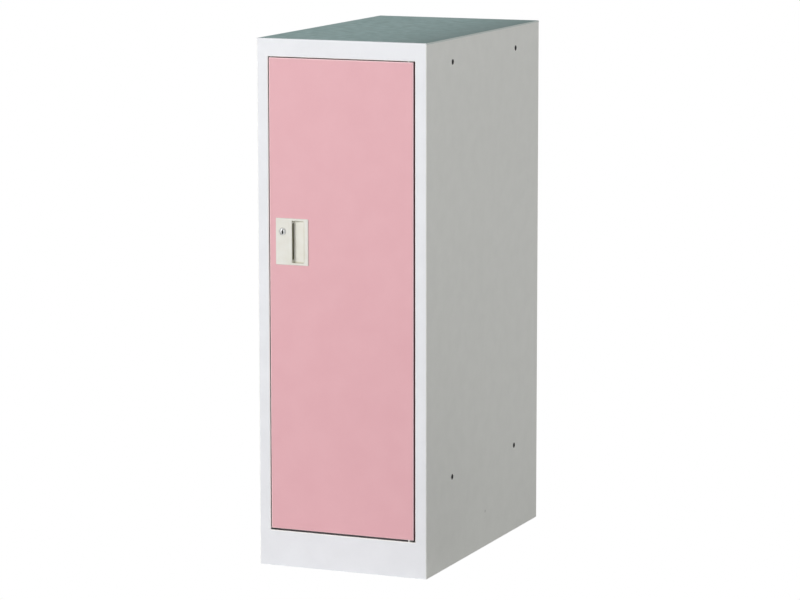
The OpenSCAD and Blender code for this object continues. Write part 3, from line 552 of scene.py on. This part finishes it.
def newPiece(name, mesh, *replaced):
    # Puts a finished mesh in the scene in place of CAD nodes, with the first one's finish and body
    node = replaced[0]
    mesh.materials.clear()
    mesh.materials.append(nodes[node].data.materials[0])
    mesh.polygons.foreach_set("material_index", np.zeros(len(mesh.polygons), dtype=np.int32))
    shadeSmooth(mesh)
    o = bpy.data.objects.new(name, mesh)
    scene.collection.objects.link(o)
    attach(o, bodyOf[node])
    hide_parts(*replaced)
    return o


def cleaned(name, mesh, flat):
    # A copy with its doubles merged, and with faces joined up where they lie flat within some degrees
    shape = bmesh.new()
    shape.from_mesh(mesh)
    bmesh.ops.remove_doubles(shape, verts=shape.verts, dist=mend["merge"])
    bmesh.ops.dissolve_limit(shape, angle_limit=math.radians(flat), verts=shape.verts, edges=shape.edges)
    made = bpy.data.meshes.new(name)
    shape.to_mesh(made)
    shape.free()
    return made


def closedUp(mesh, sharp):
    # Merges the points of poles, turns faces outwards and keeps edges over that angle sharp
    shape = bmesh.new()
    shape.from_mesh(mesh)
    bmesh.ops.remove_doubles(shape, verts=shape.verts, dist=mend["poleMerge"])
    bmesh.ops.dissolve_degenerate(shape, edges=shape.edges, dist=mend["sliver"])
    bmesh.ops.recalc_face_normals(shape, faces=shape.faces)
    shape.to_mesh(mesh)
    shape.free()
    mesh.set_sharp_from_angle(angle=math.radians(sharp))
    return mesh


def skin(name, rings, capped):
    # Quads between each ring of points and the next, from an array of the shape (rings, points, 3),
    # with flat ends or without
    index = np.arange(rings.shape[0] * rings.shape[1]).reshape(rings.shape[:2])
    here, there = index[:-1], index[1:]
    quads = np.stack([here, np.roll(here, -1, 1), np.roll(there, -1, 1), there], -1)
    faces = quads.reshape(-1, 4).tolist()
    if capped:
        faces += [index[0][::-1].tolist(), index[-1].tolist()]
    mesh = bpy.data.meshes.new(name)
    mesh.from_pydata(rings.reshape(-1, 3).tolist(), [], faces)
    return mesh


def addTurned(node, outline, s, thread, place, axis):
    # A profile of (radius, height) in mm, turned round an axis through a place: x = r cos a, y = r sin a.
    # Between the thread's two heights a ridge that climbs one pitch a turn is taken from the radius.
    outline = np.array(outline, dtype=float)
    outline = outline[np.insert(np.any(np.diff(outline, axis=0) != 0, axis=1), 0, True)]  # no point twice
    r, h = outline[:, :1], outline[:, 1:]
    a = np.linspace(0, 2 * math.pi, s["steps"], endpoint=False)
    ridge = np.abs((h / s["pitch"] - a / (2 * math.pi)) % 1 - 0.5) * 2
    ends = np.clip((h - thread[0]) / s["pitch"], 0, 1) * np.clip((thread[1] - h) / s["pitch"], 0, 1)
    radius = r - s["depth"] * ridge * ends
    x, y, height = radius * np.cos(a), radius * np.sin(a), np.repeat(h, s["steps"], 1)
    points = np.stack([x, y, height] if axis == "Z" else [x, height, y], -1) * mm + np.array(place)
    mesh = skin(node + ".turned", points, False)
    shadeSmooth(mesh)
    newPiece(node + ".turned", closedUp(mesh, s["sharp"]), node)


def rounded(corners, radius, steps):
    # An outline with its inner corners rounded by quadratic curves, each from p to q on the sides that meet
    # there: (1 - t) squared times p, plus 2 t (1 - t) times the corner, plus t squared times q
    shareOfSide = 0.45
    pts = [np.array(c, dtype=float) for c in corners]
    out = [pts[0]]
    for before, here, after in zip(pts, pts[1:], pts[2:]):
        a, b = before - here, after - here
        la, lb = np.linalg.norm(a), np.linalg.norm(b)
        cut = min(radius, la * shareOfSide, lb * shareOfSide)
        p, q = here + a / la * cut, here + b / lb * cut
        t = np.linspace(0, 1, steps + 1)[:, None]
        out.extend((1 - t) ** 2 * p + 2 * t * (1 - t) * here + t ** 2 * q)
    return out + [pts[-1]]


# Levellers: a round foot and a threaded stud, in mm
leveller = {
    "footHeight": 5.0, "footRadius": 12.0, "footChamfer": 1.5, "edge": 1.2, "edgeSteps": 4,
    "studRadius": 4.0, "studTip": 0.8, "threadFrom": 1.0, "pitch": 1.25, "depth": 0.65,
    "rowsFrom": 0.1, "rowsPerTurn": 8, "steps": 40, "sharp": 40.0,
}


def addLeveller(node, s):
    low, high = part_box(node)
    top = (high.z - low.z) / mm
    foot, wide, stud = s["footHeight"], s["footRadius"], s["studRadius"]
    outline = rounded([(0, 0), (wide - s["footChamfer"], 0), (wide, s["edge"]), (wide, foot), (stud, foot)],
                      s["edge"], s["edgeSteps"])
    rows = int((top - foot - s["edge"]) / s["pitch"] * s["rowsPerTurn"])
    outline += [(stud, z) for z in np.linspace(foot + s["rowsFrom"], top - s["studTip"], rows)]
    outline += [(stud - s["studTip"], top), (0, top)]
    place = ((low.x + high.x) / 2, (low.y + high.y) / 2, low.z)
    addTurned(node, outline, s, (foot + s["threadFrom"], top - s["studTip"]), place, "Z")


for corner in ("front_left", "front_right", "rear_left", "rear_right"):
    addLeveller(corner + "_leveller", leveller)
print("levellers turned")


def ring(outline, place, axis):
    # An outline of (x, y) set at one height z, or of (x, z) set at one depth y
    return np.insert(np.array(outline, dtype=float), 2 if axis == "Z" else 1, place, axis=1)


def loft(name, rings):
    # A closed solid over rings of points, with flat ends
    return closedUp(skin(name, np.array(rings), True), mend["noneSharp"])


def prism(name, outline, start, end, axis):
    # An outline carried straight along one axis, from start to end
    return loft(name, [ring(outline, start, axis), ring(outline, end, axis)])


def roundedRectangle(low, high, radius, steps):
    # Four quarter circles as (x, z): a corner's centre plus the radius times (cos a, sin a)
    low, high = np.array(low), np.array(high)
    signs = np.array([(1, 1), (-1, 1), (-1, -1), (1, -1)])
    centres = (low + high) / 2 + signs * ((high - low) / 2 - radius)
    a = (np.arange(4)[:, None] + np.linspace(0, 1, steps + 1)) * math.pi / 2
    return (centres[:, None] + radius * np.stack([np.cos(a), np.sin(a)], -1)).reshape(-1, 2)


def carve(base, steps):
    # Adds and cuts away shapes one after another, and gives the mesh that is left
    o = bpy.data.objects.new("carving", base)
    scene.collection.objects.link(o)
    tools = []
    for kind, mesh in steps:
        tool = bpy.data.objects.new("tool", mesh)
        scene.collection.objects.link(tool)
        m = o.modifiers.new(kind, "BOOLEAN")
        m.operation, m.object, m.solver = kind, tool, "EXACT"
        tools.append(tool)
    made = bpy.data.meshes.new_from_object(o.evaluated_get(bpy.context.evaluated_depsgraph_get()))
    for tool in tools + [o]:
        bpy.data.objects.remove(tool)
    return made


def handlePlate(s, low, high):
    # Its rim is a quarter circle: in by r (1 - sin t) and back by r (1 - cos t)
    rings, r = [], s["outerRound"]
    for t in np.linspace(0, math.pi / 2, s["rimRings"]):
        inset = r * (1 - math.sin(t))
        outline = roundedRectangle(low[[0, 2]] + inset, high[[0, 2]] - inset, s["plateCorner"] - inset,
                                   s["cornerSteps"])
        rings.append(ring(outline, low[1] + r * (1 - math.cos(t)), "Y"))
    return loft("plate", rings + [ring(outline, low[1] + s["proud"], "Y")])


def handleShell(s, origin, z0, z1):
    # The housing's outside: deep behind the pocket, with a step and then a slope behind the ramp
    wall = s["wall"]
    left, right, back = -s["pocketReach"] - wall, s["recessWide"] + wall, s["pocketBack"] + wall
    outline = [(left, s["shellFront"]), (left, back), (s["shellStep"][0], back), s["shellStep"],
               (right, s["shellEnd"]), (right, s["shellFront"])]
    return prism("shell", np.array(outline) + origin, z0 - wall, z1 + wall, "Z")


def handleRecess(s, origin, z0, z1):
    # What the fingers reach into, down to the ramp, with its right corners rounded
    ahead, (left, front, back) = -s["recessAhead"], s["window"]
    outline = [(0, ahead), (s["recessWide"], ahead)] + s["ramp"] + [(0, s["ramp"][-1][1])]
    recess = prism("recess", np.array(outline) + origin, z0, z1, "Z")
    corners = roundedRectangle((origin[0] + left, z0), (origin[0] + s["recessWide"], z1), s["recessCorner"],
                               s["cornerSteps"])
    window = prism("window", corners, origin[1] + front, origin[1] + back, "Y")
    return carve(recess, [("INTERSECT", window)])


def handlePocket(s, origin, z0, z1):
    # Behind the lip, from the ramp's end and its rounded foot
    left, back, lipBack = -s["pocketReach"], s["pocketBack"], s["lip"] - s["proud"]
    outline = [(left, lipBack), (0, lipBack), (s["ramp"][-1][0], lipBack), s["ramp"][-1]]
    outline += s["rampFoot"] + [(s["rampFoot"][-1][0], back), (left, back)]
    return prism("pocket", np.array(outline) + origin, z0 + s["pocketEnd"], z1 - s["pocketEnd"], "Z")


def lockHole(s, origin, low, high):
    # A circle: the middle plus the radius times (cos a, sin a)
    a = np.linspace(0, 2 * math.pi, s["lockHoleSteps"], endpoint=False)
    middle = np.array((low[0] + s["lockIn"], high[2] - s["lockDrop"]))
    outline = middle + s["lockHole"] * np.stack([np.cos(a), np.sin(a)], -1)
    return prism("hole", outline, origin[1] + s["lockHoleSpan"][0], origin[1] + s["lockHoleSpan"][1], "Y")


def addHandle(s):
    low, high = (np.array(corner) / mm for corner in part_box("handle_plate"))
    origin = (low[0] + s["plateEdge"], low[1] + s["proud"])
    z0 = (low[2] + high[2] - s["recessTall"]) / 2
    z1 = z0 + s["recessTall"]
    made = carve(handlePlate(s, low, high), [
        ("UNION", handleShell(s, origin, z0, z1)),
        ("DIFFERENCE", handleRecess(s, origin, z0, z1)),
        ("DIFFERENCE", handlePocket(s, origin, z0, z1)),
        ("DIFFERENCE", lockHole(s, origin, low, high)),
    ])
    made.transform(Matrix.Scale(mm, 4))
    o = newPiece("handlePull", cleaned("handlePull", made, s["flat"]), "handle_plate", "handle_housing")
    o.data.set_sharp_from_angle(angle=math.radians(s["sharp"]))
    o.modifiers.new("evened", "WEIGHTED_NORMAL").keep_sharp = True


addHandle(handle)
print("handle moulded")

# The lock's barrel, in mm: a threaded body, and a rounded head that stands proud of the handle
lockBarrel = {
    "bore": 4.25, "boreEdge": (0.25, 0.4), "proud": 0.8, "rim": 0.35, "rimSteps": 4,
    "body": 5.6, "bodyEnd": 0.4, "threadFrom": 4.0, "threadEnd": 0.8, "pitch": 1.0, "depth": 0.5,
    "rowsFrom": 0.01, "rowsPerTurn": 8, "steps": 64, "sharp": 40.0,
}


def addBarrel(node, s):
    low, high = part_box(node)
    head, length = (high.x - low.x) / 2 / mm, (high.y - low.y) / mm
    bore, body, proud = s["bore"], s["body"], s["proud"]
    (edgeWide, edgeDeep), rim = s["boreEdge"], s["rim"]
    outline = rounded([(bore, edgeDeep), (bore + edgeWide, 0), (head - rim, 0), (head, rim), (head, proud)],
                      rim, s["rimSteps"])
    rows = int((length - proud) / s["pitch"] * s["rowsPerTurn"])
    outline += [(body, proud)]
    outline += [(body, v) for v in np.linspace(proud + s["rowsFrom"], length - s["bodyEnd"], rows)]
    outline += [(body - s["bodyEnd"], length), (bore, length), (bore, edgeDeep)]
    place = ((low.x + high.x) / 2, low.y, (low.z + high.z) / 2)
    addTurned(node, outline, s, (s["threadFrom"], length - s["threadEnd"]), place, "Y")


addBarrel("lock_barrel", lockBarrel)

# The plug's keyway, in mm: left, right, low and high from its middle, how deep, and how far it starts ahead
keyway = {"slot": (-0.1, 1.9, -4.6, 3.0), "deep": 9.0, "ahead": 1.0}


def keywayCut(s):
    # Long enough to run out to the plug's rim
    low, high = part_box("lock_barrel")
    x0, x1, z0, z1 = s["slot"]
    middle = np.array((low.x + high.x, low.z + high.z)) / 2
    outline = middle + np.array([(x0, z0), (x1, z0), (x1, z1), (x0, z1)]) * mm
    return prism("keyway", outline, low.y - s["ahead"] * mm, low.y + s["deep"] * mm, "Y")


# Small pieces whose CAD shape is right and only needs its edges taken off, with the width in mm
roundings = {
    "lock_plug": 0.08, "lock_cam": 0.35, "cam_screw": 0.5, "lock_nut": 0.4,
    "lock_keeper": 0.25, "leveller_nuts": 0.5, "upper_hinge_plate": 0.25, "lower_hinge_plate": 0.25,
    "upper_door_plate": 0.25, "lower_door_plate": 0.25, "upper_hinge_pin": 0.4, "lower_hinge_pin": 0.4,
    "upper_hinge_bush": 0.2, "lower_hinge_bush": 0.2, "catch_magnet": 0.3, "catch_plate": 0.2,
    "catch_rivets": 0.35, "door_bumpers": 0.6, "left_rail_socket": 0.4, "right_rail_socket": 0.4,
}
edges = {"segments": 3, "sharp": 32.0, "flat": 0.5}  # degrees: what counts as an edge, and as one flat face


def softened(node, width, s, cut=None):
    # The CAD solid with a small rounding of that width along its sharp edges, and perhaps a cut
    mesh = cleaned(node + ".soft", nodes[node].data, s["flat"])
    if cut:
        mesh = carve(mesh, [("DIFFERENCE", cut)])
    bevel = newPiece(node + ".soft", mesh, node).modifiers.new("rounding", "BEVEL")
    bevel.width, bevel.segments = width * mm, s["segments"]
    bevel.limit_method, bevel.angle_limit = "ANGLE", math.radians(s["sharp"])
    bevel.use_clamp_overlap = False
    bevel.harden_normals = True
    bevel.miter_outer = "MITER_ARC"


cuts = {"lock_plug": keywayCut(keyway)}
for node, width in roundings.items():
    softened(node, width, edges, cuts.get(node))
print("small pieces rounded:", len(roundings))


# Floor, backdrop and soft lights
studio = {
    "floor": 30.0,  # metres across
    "backdrop": 1.0,  # brightness that the camera sees
    "skyLow": 0.68,  # brightness that lights the locker from the side
    "skyHigh": 0.46,  # and from overhead
    "skySpan": (0.1, 0.8),  # heights in the sky, 1 being overhead, between which one goes over to the other
    "bounce": 0.72,  # how white the floor is to the light that falls on it
    # A grey card on the floor, at the right side's front
    "card": {"low": (0.2, -0.85), "high": (1.3, -0.1), "lift": 0.0005, "bounce": 0.3},
    "lights": {
        # name: place, aim, width, height, watts, colour
        "keyLight": ((-5.6, -6.5, 3.1), (0, -0.25, 0.42), 3.0, 3.0, 470, (1.0, 0.99, 0.98)),
        "edgeLight": ((4.5, -3.5, 1.3), (0, -0.25, 0.42), 0.4, 2.0, 46, (1.0, 1.0, 1.0)),
        "rearLight": ((2.6, 4.6, 1.9), (0, 0, 0.5), 2.2, 2.2, 24, (1.0, 1.0, 1.0)),
    },
}


def seenOrLit(tree, seen, lit, outputKind):
    # The camera sees one closure, and the other gives the light that is thrown
    path = tree.nodes.new("ShaderNodeLightPath")
    pick = tree.nodes.new("ShaderNodeMixShader")
    tree.links.new(path.outputs["Is Camera Ray"], pick.inputs[0])
    tree.links.new(lit.outputs[0], pick.inputs[1])
    tree.links.new(seen.outputs[0], pick.inputs[2])
    tree.links.new(pick.outputs[0], tree.nodes.new(outputKind).inputs[0])


def glowing(tree, kind, strength):
    n = tree.nodes.new(kind)
    n.inputs[0].default_value, n.inputs[1].default_value = (1, 1, 1, 1), strength
    return n


def addSheet(name, low, high, z, bounce, glow):
    # A level sheet that the camera sees glow white and that throws back part of the light
    corners = [(low[0], low[1], z), (high[0], low[1], z), (high[0], high[1], z), (low[0], high[1], z)]
    mesh = bpy.data.meshes.new(name)
    mesh.from_pydata(corners, [], [(0, 1, 2, 3)])
    sheet = bpy.data.objects.new(name, mesh)
    scene.collection.objects.link(sheet)
    paper = bpy.data.materials.new(name + "Paper")
    paper.use_nodes = True
    tree = paper.node_tree
    tree.nodes.clear()
    matt = tree.nodes.new("ShaderNodeBsdfDiffuse")
    matt.inputs[0].default_value = (bounce, bounce, bounce, 1)
    seenOrLit(tree, glowing(tree, "ShaderNodeEmission", glow), matt, "ShaderNodeOutputMaterial")
    mesh.materials.append(paper)


def addSky(s):
    # White to the camera, and to the locker a light that changes with its height in the sky
    scene.world = bpy.data.worlds.new("studio")
    scene.world.use_nodes = True
    tree = scene.world.node_tree
    tree.nodes.clear()
    way = tree.nodes.new("ShaderNodeTexCoord")
    split = tree.nodes.new("ShaderNodeSeparateXYZ")
    tree.links.new(way.outputs["Generated"], split.inputs[0])
    height = tree.nodes.new("ShaderNodeMapRange")
    tree.links.new(split.outputs["Z"], height.inputs["Value"])
    start, end = s["skySpan"]
    limits = {"From Min": start, "From Max": end, "To Min": s["skyLow"], "To Max": s["skyHigh"]}
    for key, value in limits.items():
        height.inputs[key].default_value = value
    lit = tree.nodes.new("ShaderNodeBackground")
    tree.links.new(height.outputs[0], lit.inputs[1])
    seenOrLit(tree, glowing(tree, "ShaderNodeBackground", s["backdrop"]), lit, "ShaderNodeOutputWorld")


def addStudio(s):
    addSky(s)
    half, card = s["floor"] / 2, s["card"]
    addSheet("floor", (-half, -half), (half, half), 0, s["bounce"], s["backdrop"])
    addSheet("card", card["low"], card["high"], card["lift"], card["bounce"], s["backdrop"])
    for name, (place, aim, w, h, watts, color) in s["lights"].items():
        lamp = bpy.data.lights.new(name, "AREA")
        lamp.shape, lamp.size, lamp.size_y, lamp.energy, lamp.color = "RECTANGLE", w, h, watts, color
        o = bpy.data.objects.new(name, lamp)
        o.location = place
        o.rotation_euler = (Vector(aim) - Vector(place)).to_track_quat("-Z", "Y").to_euler()
        scene.collection.objects.link(o)


addStudio(studio)
print("studio lit")
